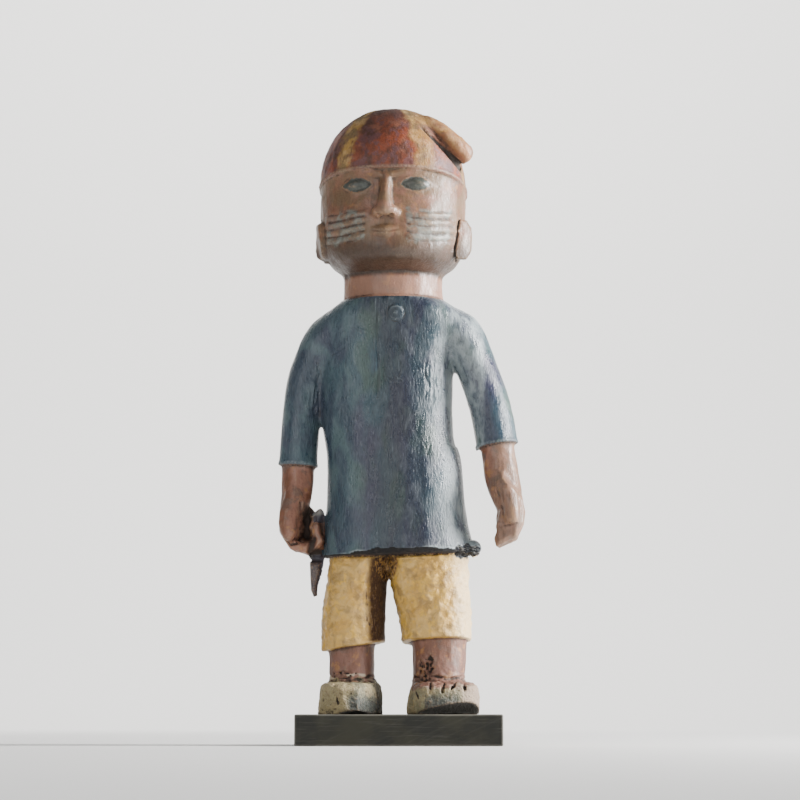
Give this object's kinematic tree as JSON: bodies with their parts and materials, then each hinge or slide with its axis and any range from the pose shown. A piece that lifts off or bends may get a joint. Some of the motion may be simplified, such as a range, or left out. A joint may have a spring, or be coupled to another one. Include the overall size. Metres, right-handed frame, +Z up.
{
  "type": "carved standing figure",
  "caption": "Painted wooden standing figure in a folded cap, long tunic and shorts, with a knife in one hand, on a low rectangular plinth.",
  "frame": {"origin": "centre of the plinth's underside", "axes": "+Z up, the figure faces -Y and its left hand is on the +X side"},
  "size_m": [0.2446, 0.1614, 0.63],
  "materials": {
    "painted_wood": "worn hand-mixed paint over carved wood: dark blue tunic, ochre shorts, red and ochre cap, brown skin",
    "dark_stained_wood": "dark grey stain, satin"
  },
  "bodies": {
    "root": {"colon_figure": "painted_wood", "plinth": "dark_stained_wood"}
  },
  "joints": []
}
